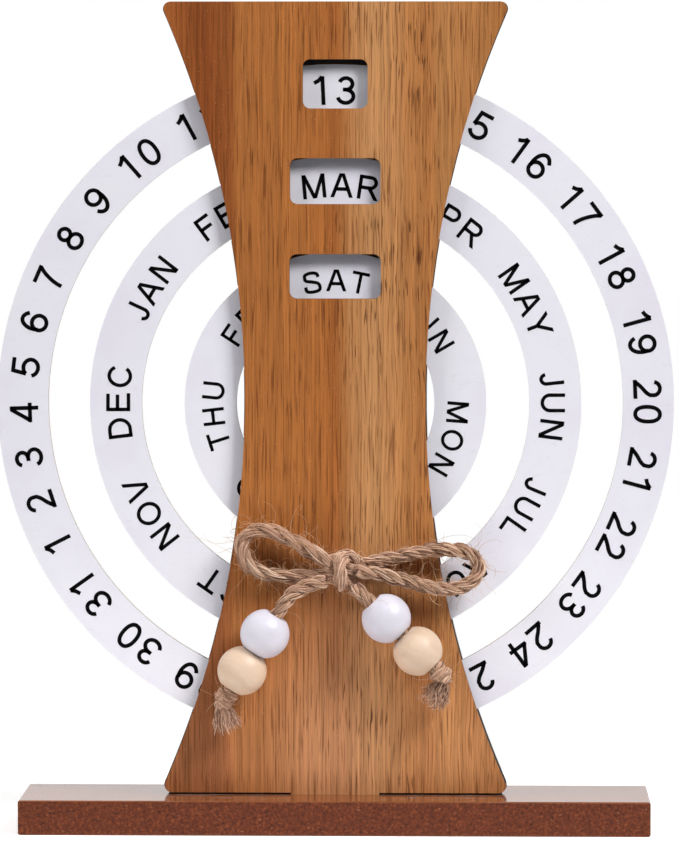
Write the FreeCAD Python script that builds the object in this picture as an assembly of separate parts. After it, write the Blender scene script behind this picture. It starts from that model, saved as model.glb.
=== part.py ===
import FreeCAD, Part
import math
import os
from FreeCAD import Placement, Rotation, Vector

# Perpetual desk calendar. A waisted wooden panel stands in a plank, and three lettered rings,
# for the date, the month and the weekday, turn in channels between its layers and show at
# three windows. A jute bow with four beads is glued to its front.
# Millimetres: X to the right, the front towards -Y, Z up, origin under the plank's middle.

# Plank
BASE_WIDTH = 202.0
BASE_DEPTH = 45.0
BASE_THICKNESS = 11.2
BASE_EDGE_ROUND = 0.8

# Rings, from the middle outwards
WEEKDAY_BORE = 63.6          # inner diameter of the weekday ring
WEEKDAY_BAND = 16.7          # width of the ring, rim to rim
MONTH_GAP = 13.8             # open space between the weekday ring and the month ring
MONTH_BAND = 16.7
DATE_GAP = 13.4
DATE_BAND = 16.3
RING_BOARD = 2.4             # thickness of a ring's board
RING_PAPER = 0.2             # thickness of the lettered paper on it
RIM_PLAY = 0.5               # between a ring's rim and the spacers that guide it
CHANNEL_PLAY = 0.2           # in front of a ring, and behind it

# Panel
PANEL_SHEET = 3.0            # thickness of the front panel and of the back panel
WAIST_WIDTH = 58.0
END_WIDTH = 112.4            # width along the top edge and the bottom edge
TOP_RAIL = 19.95             # panel above the date ring
BOTTOM_RAIL = 16.85          # panel below the date ring
CORNER_ROUND = 2.3
BACKING_OVERHANG = 0.3       # how far the layers behind the front panel stand out at each side

# Tab and slot
FOOT_GAP = 0.6               # the panel's bottom edge stays this far above the plank
TAB_WIDTH = 28.3
TAB_ROOT_ROUND = 0.5
TAB_RECESS = 0.4             # the tab ends this far above the plank's underside
SLOT_PLAY = 0.15

# Windows, with the rise of each one's middle above the middle of its ring's band
DATE_WINDOW_WIDTH = 20.8
DATE_WINDOW_HEIGHT = 15.7
DATE_WINDOW_RISE = 1.8
MONTH_WINDOW_WIDTH = 29.0
MONTH_WINDOW_HEIGHT = 14.7
MONTH_WINDOW_RISE = 0.6
WEEKDAY_WINDOW_WIDTH = 29.3
WEEKDAY_WINDOW_HEIGHT = 14.3
WEEKDAY_WINDOW_RISE = 0.6
WINDOW_ROUND = 2.4

# Bow
TWINE = 4.2                  # diameter
BOW_X = 2.7                  # the knot's middle, right of the panel's middle
BOW_RISE = 72.2              # the knot's middle, above the panel's bottom edge
KNOT_DIAMETER = 10.6
KNOT_DEPTH = 8.0
KNOT_ROUND = 2.5
GLUE_DIAMETER = 9.0
GLUE_THICKNESS = 1.2

# Beads and end knots
BEAD_DIAMETER = 15.8
BEAD_LENGTH = 13.5           # between the flats, along the hole
THREAD_PLAY = 0.4            # between the twine and the hole of a bead, all round
BEAD_REST = 0.3              # between a bead and the panel
END_KNOT_DIAMETER = 8.6
END_KNOT_LENGTH = 6.4
END_KNOT_ROUND = 2.4
END_KNOT_GAP = 0.3           # between the second bead and the end knot
TUFT_ROOT = 4.8              # diameter of the frayed end where it leaves the knot

# Share of the shorter run that each bend of the twine takes up
BEND_SHARE = 0.45

# Worked out
weekday_inner = WEEKDAY_BORE / 2
weekday_outer = weekday_inner + WEEKDAY_BAND
month_inner = weekday_outer + MONTH_GAP
month_outer = month_inner + MONTH_BAND
date_inner = month_outer + DATE_GAP
date_outer = date_inner + DATE_BAND
panel_bottom = BASE_THICKNESS + FOOT_GAP
ring_z = panel_bottom + BOTTOM_RAIL + date_outer
panel_top = ring_z + date_outer + TOP_RAIL
channel = RING_PAPER + RING_BOARD + 2 * CHANNEL_PLAY
channel_front = -channel / 2
front_face = channel_front - PANEL_SHEET
stack = channel + 2 * PANEL_SHEET
bead_out = BEAD_DIAMETER / 2 + BEAD_REST
bead_hole = TWINE + 2 * THREAD_PLAY
under = TWINE / 2            # from the panel to the middle of a twine that lies on it
over = 1.5 * TWINE           # to the middle of a twine that lies on another one

RINGS = {
    "date": (date_inner, date_outer),
    "month": (month_inner, month_outer),
    "weekday": (weekday_inner, weekday_outer),
}
WINDOWS = (
    (DATE_WINDOW_WIDTH, DATE_WINDOW_HEIGHT, date_outer - DATE_BAND / 2 + DATE_WINDOW_RISE),
    (MONTH_WINDOW_WIDTH, MONTH_WINDOW_HEIGHT, month_outer - MONTH_BAND / 2 + MONTH_WINDOW_RISE),
    (WEEKDAY_WINDOW_WIDTH, WEEKDAY_WINDOW_HEIGHT,
     weekday_outer - WEEKDAY_BAND / 2 + WEEKDAY_WINDOW_RISE),
)

# Routes of the twine's middle line, from the middle of the bow's knot: how far to the right,
# how far in front of the panel, and how far up. Each loop leaves the knot and comes back.
LEFT_LOOP = [
    (-3.5, under + 3.1, 2.4), (-9.8, under + 2.9, 5.7), (-16.6, under + 2.5, 9.8),
    (-22.7, under + 2.1, 12.5), (-28.0, under + 1.8, 13.2), (-31.8, under + 1.7, 10.9),
    (-32.9, under + 1.7, 6.8), (-31.4, under + 1.6, 2.6), (-28.0, under + 1.4, -0.4),
    (-22.7, under + 1.1, -1.9), (-15.9, under + 0.9, -2.3), (-9.1, under + 0.9, -1.5),
    (-3.2, under + 1.5, -2.0),
]
RIGHT_LOOP = [
    (3.2, under + 1.5, 1.4), (9.9, under + 1.1, 2.6), (17.5, under + 0.9, 4.5),
    (25.0, under + 1.1, 6.0), (32.6, under + 1.4, 6.8), (38.6, under + 1.7, 6.4),
    (42.8, under + 1.9, 3.8), (43.9, under + 2.0, 0.0), (41.7, under + 2.1, -3.8),
    (36.4, under + 2.3, -6.1), (28.8, under + 2.7, -5.7), (19.7, under + 3.7, -3.0),
    (11.4, over + 0.6, -0.8), (4.6, over + 1.0, 0.0),
]
# Each tail: its bends, the lean of its straight beaded end from the vertical (degrees, to the
# right), the straight twine before the first bead, the gap between the beads, and the tip of
# its frayed end with that end's diameter.
TAILS = {
    "left": {
        "bends": [(-5.7, over + 1.3, -3.1), (-11.2, over + 1.6, -4.4), (-16.3, over + 1.8, -7.0),
                  (-19.8, bead_out, -11.7)],
        "lean": -31.7,
        "lead": 3.15,
        "bead_gap": 0.4,
        "tuft_tip": (-37.2, 5.8, -52.3),
        "tuft_end": 9.4,
    },
    "right": {
        "bends": [(3.3, over + 0.6, -4.8), (5.6, over + 1.3, -7.0), (8.0, bead_out, -9.0)],
        "lean": 44.0,
        "lead": 1.75,
        "bead_gap": 1.0,
        "tuft_tip": (28.4, 5.8, -44.4),
        "tuft_end": 8.6,
    },
}


def from_knot(point):
    """A place given from the middle of the bow's knot, in the calendar's frame."""
    right, out, up = point
    return Vector(BOW_X + right, front_face - out, panel_bottom + BOW_RISE + up)


def export(shape, name):
    """Write one node's solid."""
    if not shape.isValid():
        raise RuntimeError(name + " is not valid")
    shape.exportStep("parts/" + name + ".step")


def box(x_size, y_low, y_high, z_low, z_high):
    """A box that is centred left to right."""
    corner = Vector(-x_size / 2, y_low, z_low)
    return Part.makeBox(x_size, y_high - y_low, z_high - z_low, corner)


def disc(radius, y_low, thickness):
    """A round plate about the axis of the rings."""
    return Part.makeCylinder(radius, thickness, Vector(0, y_low, ring_z), Vector(0, 1, 0))


def annulus(inner, outer, y_low, thickness):
    """A flat ring about the axis of the rings."""
    return disc(outer, y_low, thickness).cut(disc(inner, y_low, thickness))


def edges_across(shape, points):
    """The edges that run front to back through the given (x, z) places."""
    found = []
    for edge in shape.Edges:
        first, last = edge.firstVertex().Point, edge.lastVertex().Point
        if abs(first.y - last.y) < 1e-6:
            continue
        if any(math.hypot(first.x - x, first.z - z) < 1e-3 for x, z in points):
            found.append(edge)
    return found


def panel_blank(y_low, thickness, overhang):
    """The panel's hourglass outline with square corners."""
    waist = WAIST_WIDTH / 2 + overhang
    end = END_WIDTH / 2 + overhang
    middle = (panel_bottom + panel_top) / 2
    corners = {
        "low_left": Vector(-end, y_low, panel_bottom),
        "low_right": Vector(end, y_low, panel_bottom),
        "high_right": Vector(end, y_low, panel_top),
        "high_left": Vector(-end, y_low, panel_top),
    }
    right_waist = Vector(waist, y_low, middle)
    left_waist = Vector(-waist, y_low, middle)
    sides = [
        Part.LineSegment(corners["low_left"], corners["low_right"]),
        Part.Arc(corners["low_right"], right_waist, corners["high_right"]),
        Part.LineSegment(corners["high_right"], corners["high_left"]),
        Part.Arc(corners["high_left"], left_waist, corners["low_left"]),
    ]
    outline = Part.Wire([side.toShape() for side in sides])
    return Part.Face(outline).extrude(Vector(0, thickness, 0))


def panel_layer(y_low, thickness, overhang=0.0):
    """One layer of the panel, with its tab and its rounded corners."""
    tab = box(TAB_WIDTH, y_low, y_low + thickness, TAB_RECESS, panel_bottom + TOP_RAIL / 2)
    layer = panel_blank(y_low, thickness, overhang).fuse(tab).removeSplitter()
    end = END_WIDTH / 2 + overhang
    corners = [(x, z) for x in (-end, end) for z in (panel_bottom, panel_top)]
    layer = layer.makeFillet(CORNER_ROUND, edges_across(layer, corners))
    roots = [(x, panel_bottom) for x in (-TAB_WIDTH / 2, TAB_WIDTH / 2)]
    return layer.makeFillet(min(TAB_ROOT_ROUND, 0.9 * FOOT_GAP), edges_across(layer, roots))


def front_panel():
    """The front layer, with a rounded window over each ring."""
    panel = panel_layer(front_face, PANEL_SHEET)
    for width, height, rise in WINDOWS:
        middle = ring_z + rise
        low, high = middle - height / 2, middle + height / 2
        window = box(width, front_face - 1, channel_front + 1, low, high)
        corners = [(x, z) for x in (-width / 2, width / 2) for z in (low, high)]
        panel = panel.cut(window.makeFillet(WINDOW_ROUND, edges_across(window, corners)))
    return panel


def back_panel():
    """The plain back layer."""
    return panel_layer(channel_front + channel, PANEL_SHEET, BACKING_OVERHANG)


def spacers():
    """The middle layer: what is left of it between the channels of the rings."""
    layer = panel_layer(channel_front, channel, BACKING_OVERHANG)
    for inner, outer in RINGS.values():
        layer = layer.cut(annulus(inner - RIM_PLAY, outer + RIM_PLAY, channel_front - 1, channel + 2))
    names = ("bottom_spacer", "lower_outer_spacer", "lower_inner_spacer", "centre_spacer",
             "upper_inner_spacer", "upper_outer_spacer", "top_spacer")
    pieces = sorted(layer.Solids, key=lambda piece: piece.CenterOfMass.z)
    if len(pieces) != len(names):
        raise RuntimeError("the channels leave %d spacers" % len(pieces))
    return dict(zip(names, pieces))


def ring_nodes():
    """A board and its lettered paper for each ring."""
    paper_y = channel_front + CHANNEL_PLAY
    nodes = {}
    for name, (inner, outer) in RINGS.items():
        nodes[name + "_ring_face"] = annulus(inner, outer, paper_y, RING_PAPER)
        nodes[name + "_ring_board"] = annulus(inner, outer, paper_y + RING_PAPER, RING_BOARD)
    return nodes


def base_plank():
    """The plank, with a slot right through for the tabs and softly rounded edges."""
    plank = box(BASE_WIDTH, -BASE_DEPTH / 2, BASE_DEPTH / 2, 0, BASE_THICKNESS)
    plank = plank.makeFillet(BASE_EDGE_ROUND, plank.Edges)
    half = stack / 2 + SLOT_PLAY
    return plank.cut(box(TAB_WIDTH + 2 * SLOT_PLAY, -half, half, -1, BASE_THICKNESS + 1))


def rounded_drum(middle, direction, diameter, length, rounding):
    """A short drum with rounded rims, centred on middle."""
    start = middle - direction * (length / 2)
    drum = Part.makeCylinder(diameter / 2, length, start, direction)
    rims = [edge for edge in drum.Edges if isinstance(edge.Curve, Part.Circle)]
    return drum.makeFillet(rounding, rims)


def glue_dab():
    """The hot glue between the knot and the panel."""
    start = from_knot((0, GLUE_THICKNESS, 0))
    return Part.makeCylinder(GLUE_DIAMETER / 2, GLUE_THICKNESS, start, Vector(0, 1, 0))


def bow_knot():
    """The knot in the middle of the bow."""
    middle = from_knot((0, GLUE_THICKNESS + KNOT_DEPTH / 2, 0))
    return rounded_drum(middle, Vector(0, 1, 0), KNOT_DIAMETER, KNOT_DEPTH, KNOT_ROUND)


def twine(name, points):
    """A round tube along straight runs joined by tangent arcs, and the arcs' radii in print."""
    runs = [after - before for before, after in zip(points, points[1:])]
    edges, radii = [], []
    start = points[0]
    for corner, before, after in zip(points[1:], runs, runs[1:]):
        half_turn = before.getAngle(after) / 2
        reach = BEND_SHARE * min(before.Length, after.Length)
        radius = reach / math.tan(half_turn)
        into, out = Vector(before).normalize(), Vector(after).normalize()
        enter, leave = corner - into * reach, corner + out * reach
        inward = Vector(out - into).normalize()
        top = corner + inward * (radius / math.cos(half_turn) - radius)
        edges.append(Part.LineSegment(start, enter).toShape())
        edges.append(Part.Arc(enter, top, leave).toShape())
        radii.append(radius)
        start = leave
    edges.append(Part.LineSegment(start, points[-1]).toShape())
    path = Part.Wire(edges)
    section = Part.Wire(Part.makeCircle(TWINE / 2, points[0], runs[0]))
    tube = path.makePipe(Part.Face(section))
    print(name, "bend radii", ["%.1f" % radius for radius in radii], "length %.1f" % path.Length)
    return tube


def tail_line(tail):
    """Start and direction of a tail's straight beaded end."""
    lean = math.radians(tail["lean"])
    return from_knot(tail["bends"][-1]), Vector(math.sin(lean), 0, -math.cos(lean))


def bead(tail, index):
    """A truncated ball with a hole along the tail; index 0 is nearer the bow."""
    radius, half, hole = BEAD_DIAMETER / 2, BEAD_LENGTH / 2, bead_hole / 2
    flat = math.sqrt(radius ** 2 - half ** 2)
    corners = [Vector(hole, 0, -half), Vector(flat, 0, -half), Vector(flat, 0, half), Vector(hole, 0, half)]
    profile = Part.Wire([
        Part.LineSegment(corners[0], corners[1]).toShape(),
        Part.Arc(corners[1], Vector(radius, 0, 0), corners[2]).toShape(),
        Part.LineSegment(corners[2], corners[3]).toShape(),
        Part.LineSegment(corners[3], corners[0]).toShape(),
    ])
    ball = Part.Face(profile).revolve(Vector(0, 0, 0), Vector(0, 0, 1), 360)
    start, along = tail_line(tail)
    middle = start + along * (tail["lead"] + half + index * (BEAD_LENGTH + tail["bead_gap"]))
    ball.Placement = Placement(middle, Rotation(Vector(0, 0, 1), along))
    return ball


def knot_middle(tail):
    """Middle of the end knot, just past the second bead."""
    start, along = tail_line(tail)
    beads = 2 * BEAD_LENGTH + tail["bead_gap"]
    return start + along * (tail["lead"] + beads + END_KNOT_GAP + END_KNOT_LENGTH / 2)


def end_knot(tail):
    """The stopper knot with the twine's frayed end below it."""
    middle = knot_middle(tail)
    along = tail_line(tail)[1]
    knot = rounded_drum(middle, along, END_KNOT_DIAMETER, END_KNOT_LENGTH, END_KNOT_ROUND)
    fall = from_knot(tail["tuft_tip"]) - middle
    tuft = Part.makeCone(TUFT_ROOT / 2, tail["tuft_end"] / 2, fall.Length, middle, fall)
    return knot.fuse(tuft)


def bow_nodes():
    """The glued bow: knot, loops, tails, beads and end knots."""
    nodes = {
        "glue_dab": glue_dab(),
        "bow_knot": bow_knot(),
        "bow_loop_left": twine("bow_loop_left", [from_knot(point) for point in LEFT_LOOP]),
        "bow_loop_right": twine("bow_loop_right", [from_knot(point) for point in RIGHT_LOOP]),
    }
    for side, tail in TAILS.items():
        route = [from_knot(point) for point in tail["bends"]] + [knot_middle(tail)]
        nodes["tail_" + side] = twine("tail_" + side, route)
        nodes["white_bead_" + side] = bead(tail, 0)
        nodes["wood_bead_" + side] = bead(tail, 1)
        nodes["end_knot_" + side] = end_knot(tail)
    return nodes


def main():
    os.makedirs("parts", exist_ok=True)
    nodes = {"base_plank": base_plank(), "front_panel": front_panel(), "back_panel": back_panel()}
    nodes.update(spacers())
    nodes.update(ring_nodes())
    nodes.update(bow_nodes())
    for name, shape in nodes.items():
        export(shape, name)


main()
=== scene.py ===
import math

import bpy
import numpy as np
from mathutils import Matrix, Vector


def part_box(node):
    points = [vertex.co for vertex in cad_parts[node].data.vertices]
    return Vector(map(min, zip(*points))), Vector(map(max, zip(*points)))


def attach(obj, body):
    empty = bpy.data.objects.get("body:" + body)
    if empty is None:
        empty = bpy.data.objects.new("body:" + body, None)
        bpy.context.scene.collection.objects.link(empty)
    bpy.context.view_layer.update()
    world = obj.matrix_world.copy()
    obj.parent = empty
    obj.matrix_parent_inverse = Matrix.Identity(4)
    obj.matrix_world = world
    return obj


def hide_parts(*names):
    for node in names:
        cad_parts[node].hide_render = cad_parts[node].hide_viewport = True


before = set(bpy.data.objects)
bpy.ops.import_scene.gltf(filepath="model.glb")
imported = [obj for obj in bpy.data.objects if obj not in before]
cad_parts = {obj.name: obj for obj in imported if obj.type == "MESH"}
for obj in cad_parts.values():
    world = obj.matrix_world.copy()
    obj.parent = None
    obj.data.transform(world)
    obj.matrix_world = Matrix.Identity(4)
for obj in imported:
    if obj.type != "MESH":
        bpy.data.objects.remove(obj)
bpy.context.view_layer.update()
bpy.ops.object.select_all(action="DESELECT")

MM = 0.001
panel_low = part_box("front_panel")[0]
knot_low, knot_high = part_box("bow_knot")
paper_low, paper_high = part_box("date_ring_face")
panel_face = panel_low.y
paper_face = paper_low.y
ring_z = (paper_low.z + paper_high.z) / 2
knot_middle = Vector(((knot_low.x + knot_high.x) / 2, panel_face, (knot_low.z + knot_high.z) / 2))

# Twine, in metres
TWINE = 0.0042
BEAD_DIAMETER = 0.0158
BEAD_LENGTH = 0.0135
BEAD_HOLE = 0.0050
END_KNOT_AHEAD = 0.0035      # from the second bead's flat to the middle of the end knot

# How jute is laid. The shares are of the twine's thickness.
FIBRE_STEP = 0.9 * MM        # from point to point along a fibre
STRANDS = 3
FIBRES = 24                  # round each strand
STRAND_OFFSET = 0.29         # from the twine's middle to a strand's middle
STRAND_CORE = 0.19           # radius of the solid tube inside a strand
FIBRE_LIFT = 0.225           # from a strand's middle to its fibres
HAIR_ROOT = 0.40             # from the twine's middle to where a loose hair starts
HAIR_POINTS = 12
HAIR_CLEAR = 0.25 * MM       # a hair stays this far in front of the panel
TUFT_FIBRES = 230
TUFT_POINTS = 14
TUFT_ROOT = 0.0015           # how far a frayed end's fibres reach sideways at the knot
TUFT_TIP = 0.0048            # and at their tips
COIL_POINTS = 9              # of the turn of twine that makes an end knot
COIL_STEP = 68               # degrees from one to the next
COIL_REACH = 0.0021

# Millimetres, as the finishes count
PANEL_HALF = 56.0            # half of the panel's widest width
FOOT_HALF_WIDTH = 53.8       # painted shade of the gap under the panel, on the plank
FOOT_HALF_DEPTH = 4.4

# The print on the rings stands this far in front of the paper, and reaches this far into it
PRINT_PROUD = 0.00004
PRINT_SUNK = 0.00002

FLOOR_RADIUS = 0.17
SKY_FILL = 0.075             # light from all round, which softens the shadows
ROOM_DARK = 0.12             # what the gloss reflects of the room in front


def added(name, data):
    """A new object in the scene."""
    made = bpy.data.objects.new(name, data)
    bpy.context.scene.collection.objects.link(made)
    return made


# ---------------------------------------------------------------- camera

camera = added("camera", bpy.data.cameras.new("camera"))
bpy.context.scene.camera = camera
camera.data.lens = 231.1
camera.data.sensor_width = 36.0
camera.location = (0.045, -1.74, 0.2254)
aim = Vector((0.0014, panel_face, 0.1314))
camera.rotation_mode = "QUATERNION"
camera.rotation_quaternion = (aim - camera.location).to_track_quat("-Z", "Y")
camera.data.clip_start = 0.05
camera.data.clip_end = 50.0
bpy.context.scene.view_settings.view_transform = "Standard"


# ---------------------------------------------------------------- routes of the twine

def from_knot(right, out, up):
    """A place in millimetres from the middle of the knot: right, in front of the panel, up."""
    return knot_middle + Vector((right, -out, up)) * MM


LEFT_LOOP = [
    (-3.5, 5.2, 2.4), (-9.8, 5.0, 5.7), (-16.6, 4.6, 9.8), (-22.7, 4.2, 12.5), (-28.0, 3.9, 13.2),
    (-31.8, 3.8, 10.9), (-32.9, 3.8, 6.8), (-31.4, 3.7, 2.6), (-28.0, 3.5, -0.4),
    (-22.7, 3.2, -1.9), (-15.9, 3.0, -2.3), (-9.1, 3.0, -1.5), (-3.2, 3.6, -2.0),
]
RIGHT_LOOP = [
    (3.2, 3.6, 1.4), (9.9, 3.2, 2.6), (17.5, 3.0, 4.5), (25.0, 3.2, 6.0), (32.6, 3.5, 6.8),
    (38.6, 3.8, 6.4), (42.8, 4.0, 3.8), (43.9, 4.1, 0.0), (41.7, 4.2, -3.8), (36.4, 4.4, -6.1),
    (28.8, 4.8, -5.7), (19.7, 5.8, -3.0), (11.4, 6.9, -0.8), (4.6, 7.3, 0.0),
]
# Each tail: its bends, its straight end's lean from the vertical in degrees, the straight twine
# before the first bead, the gap between the beads, the tip of its frayed end, how curly that end
# is, the twine's real length, and the seed of its random draws.
TAILS = {
    "left": {
        "bends": [(-5.7, 7.6, -3.1), (-11.2, 7.9, -4.4), (-16.3, 8.1, -7.0), (-19.8, 8.2, -11.7)],
        "lean": -31.7,
        "lead": 0.00315,
        "bead_gap": 0.0004,
        "tuft_tip": (-36.8, 5.8, -51.4),
        "curly": 1.0,
        "length": 0.0512,
        "seed": 51,
    },
    "right": {
        "bends": [(3.3, 6.9, -4.8), (5.6, 7.6, -7.0), (8.0, 8.2, -9.0)],
        "lean": 44.0,
        "lead": 0.00175,
        "bead_gap": 0.0010,
        "tuft_tip": (28.2, 5.8, -43.0),
        "curly": 2.8,
        "length": 0.0397,
        "seed": 67,
    },
}


def smooth_line(places):
    """Closely spaced points of the smooth line that a route's points control."""
    data = bpy.data.curves.new("route", "CURVE")
    data.dimensions = "3D"
    data.resolution_u = 24
    spline = data.splines.new("NURBS")
    spline.points.add(len(places) - 1)
    for control, place in zip(spline.points, places):
        control.co = (*place, 1.0)
    spline.order_u = 3
    spline.use_endpoint_u = True
    holder = bpy.data.objects.new("route", data)
    mesh = bpy.data.meshes.new_from_object(holder)
    line = np.array([tuple(vertex.co) for vertex in mesh.vertices])
    bpy.data.objects.remove(holder)
    bpy.data.meshes.remove(mesh)
    bpy.data.curves.remove(data)
    return line


def evenly(line, spacing):
    """The same line with evenly spaced points, and how far along it each one is."""
    steps = np.linalg.norm(np.diff(line, axis=0), axis=1)
    travelled = np.concatenate([[0.0], np.cumsum(steps)])
    count = max(4, int(round(travelled[-1] / spacing)) + 1)
    stops = np.linspace(0.0, travelled[-1], count)
    places = np.stack([np.interp(stops, travelled, line[:, axis]) for axis in range(3)], axis=1)
    return places, stops


def unit(vectors):
    """Vectors made one long."""
    return vectors / np.maximum(np.linalg.norm(vectors, axis=-1, keepdims=True), 1e-12)


def carried(lines):
    """Two directions across each line, carried along it without twist. lines: (count, points, 3)."""
    ahead = unit(np.gradient(lines, axis=1))
    start = np.where(np.abs(ahead[:, 0, 1:2]) < 0.8, [[0.0, 1.0, 0.0]], [[1.0, 0.0, 0.0]])
    side = np.zeros_like(lines)
    side[:, 0] = unit(start - np.sum(start * ahead[:, 0], axis=-1, keepdims=True) * ahead[:, 0])
    for step in range(1, lines.shape[1]):
        before = side[:, step - 1]
        lean = np.sum(before * ahead[:, step], axis=-1, keepdims=True)
        side[:, step] = unit(before - lean * ahead[:, step])
    return side, np.cross(ahead, side)


# ---------------------------------------------------------------- fibres, strands and twine

class Bundle:
    """Closed thin tubes gathered into one mesh, each point with a shade from 0 to 1."""

    def __init__(self):
        self.places, self.faces, self.shades = [], [], []
        self.count = 0

    def tubes(self, lines, radii, shades, sides=4):
        """Add a tube along each line. radii and shades: (count, points)."""
        side, up = carried(lines)
        turn = np.arange(sides) * 2 * math.pi / sides
        across = (side[:, :, None] * np.cos(turn)[None, None, :, None]
                  + up[:, :, None] * np.sin(turn)[None, None, :, None])
        rings = lines[:, :, None] + across * radii[:, :, None, None]
        count, length = lines.shape[:2]
        self.places.append(rings.reshape(-1, 3))
        self.shades.append(np.repeat(shades.reshape(-1), sides))
        number = self.count + np.arange(count * length * sides).reshape(count, length, sides)
        turned = np.roll(number, -1, axis=2)
        walls = np.stack([number[:, :-1], turned[:, :-1], turned[:, 1:], number[:, 1:]], axis=-1)
        self.faces += walls.reshape(-1, 4).tolist()
        self.faces += number[:, 0, ::-1].tolist() + number[:, -1].tolist()
        self.count += count * length * sides

    def piece(self, name, finish):
        """The finished object."""
        mesh = bpy.data.meshes.new(name)
        mesh.from_pydata(np.concatenate(self.places).tolist(), [], self.faces)
        shade = mesh.attributes.new("shade", "FLOAT", "POINT")
        shade.data.foreach_set("value", np.concatenate(self.shades).astype(np.float32))
        mesh.shade_smooth()
        mesh.materials.append(finish)
        return added(name, mesh)


def wander(dice, count, length, waves, size):
    """Slow random waves along each of several lines: (count, length)."""
    along = np.linspace(0.0, 1.0, length)[None, :, None]
    turns = dice.uniform(0.3, 1.0, (count, 1, 4)) * waves
    starts = dice.uniform(0.0, 2 * math.pi, (count, 1, 4))
    return size * np.mean(np.sin(2 * math.pi * turns * along + starts), axis=2) * 1.6


def twist_twine(bundle, line, dice, pitch, hairiness=1.0, girth=1.0):
    """Lay three strands of fibres round a line, as jute twine is laid."""
    places, stops = evenly(line, FIBRE_STEP)
    length = len(places)
    side, up = carried(places[None])
    full_turn = 2 * math.pi
    start = dice.uniform(0.0, full_turn)
    for strand in range(STRANDS):
        phase = start + full_turn * (stops / pitch + strand / STRANDS)
        phase = phase + wander(dice, 1, length, 3, 0.25)[0]
        offset = STRAND_OFFSET * TWINE * girth * (1.0 + wander(dice, 1, length, 4, 0.08)[0])
        outward = np.cos(phase)[:, None] * side[0] + np.sin(phase)[:, None] * up[0]
        middle = places + offset[:, None] * outward
        across, above = carried(middle[None])
        core = np.full((1, length), STRAND_CORE * TWINE * girth)
        # The solid core inside each strand gets a darker tone, so the grooves between fibres read darker:
        # painted shade.
        bundle.tubes(middle[None], core, np.full((1, length), 0.3), sides=8)
        lay = dice.uniform(0.0, full_turn) + full_turn * np.arange(FIBRES) / FIBRES
        lay = lay[:, None] - full_turn * stops[None] / (2.2 * pitch)
        lay = lay + wander(dice, FIBRES, length, 3, 0.5)
        lift = FIBRE_LIFT * TWINE * girth * (1.0 + wander(dice, FIBRES, length, 5, 0.13))
        loose = (dice.uniform(0, 1, (FIBRES, 1)) < 0.16 * hairiness)
        lift = lift + loose * np.clip(wander(dice, FIBRES, length, 5, 0.9), 0, 1) * 0.55 * MM
        lines = (middle[None] + lift[:, :, None]
                 * (np.cos(lay)[:, :, None] * across + np.sin(lay)[:, :, None] * above))
        thick = dice.uniform(0.11, 0.21, (FIBRES, 1)) * MM * np.ones((1, length))
        tone = dice.normal(0.55, 0.27, (FIBRES, 1)) + wander(dice, FIBRES, length, 6, 0.12)
        bundle.tubes(lines, thick * min(max(girth, 0.5), 1.0), np.clip(tone, 0, 1), sides=4)


def stray_hairs(bundle, line, dice, count, longest, ahead_share=0.6, share=(0.0, 1.0)):
    """Loose hairs that leave the twine's surface, within a share of its length, and curl away."""
    places, stops = evenly(line, FIBRE_STEP)
    side, up = carried(places[None])
    ahead = unit(np.gradient(places, axis=0))
    picks = (dice.uniform(share[0], share[1], count) * (len(places) - 1)).astype(int)
    turn = dice.uniform(0, 2 * math.pi, count)
    out = np.cos(turn)[:, None] * side[0][picks] + np.sin(turn)[:, None] * up[0][picks]
    way = ahead[picks] * dice.choice([-1.0, 1.0], (count, 1))
    heading = unit(out * (1 - ahead_share) + way * ahead_share + dice.normal(0, 0.2, (count, 3)))
    lengths = longest * (0.25 + 0.75 * dice.uniform(0, 1, count) ** 2.2)
    curl = dice.normal(0, 1.0, (count, 3)) * 2.2
    swing = dice.normal(0, 1.0, (count, 3)) * 1.2
    line_now = places[picks] + out * HAIR_ROOT * TWINE
    lines = [line_now]
    clear = panel_face - HAIR_CLEAR
    for step in range(HAIR_POINTS - 1):
        part = step / (HAIR_POINTS - 1)
        heading = unit(heading + (np.cross(heading, curl) + swing * math.sin(5.0 * part)) / HAIR_POINTS)
        line_now = line_now + heading * (lengths / (HAIR_POINTS - 1))[:, None]
        line_now[:, 1] = np.where(line_now[:, 1] > clear, clear, line_now[:, 1])
        lines.append(line_now)
    lines = np.stack(lines, axis=1)
    thin = dice.uniform(0.05, 0.085, (count, 1)) * MM * np.linspace(1.0, 0.45, HAIR_POINTS)[None]
    tone = np.clip(dice.normal(0.72, 0.15, (count, 1)), 0, 1) * np.ones((1, HAIR_POINTS))
    bundle.tubes(lines, thin, tone, sides=3)


# ---------------------------------------------------------------- finishes

def tint(red, green, blue):
    """A colour given as 0 to 255 on a screen."""
    channels = [value / 255 for value in (red, green, blue)]
    linear = [c / 12.92 if c <= 0.04045 else ((c + 0.055) / 1.055) ** 2.4 for c in channels]
    return (*linear, 1.0)


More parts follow.
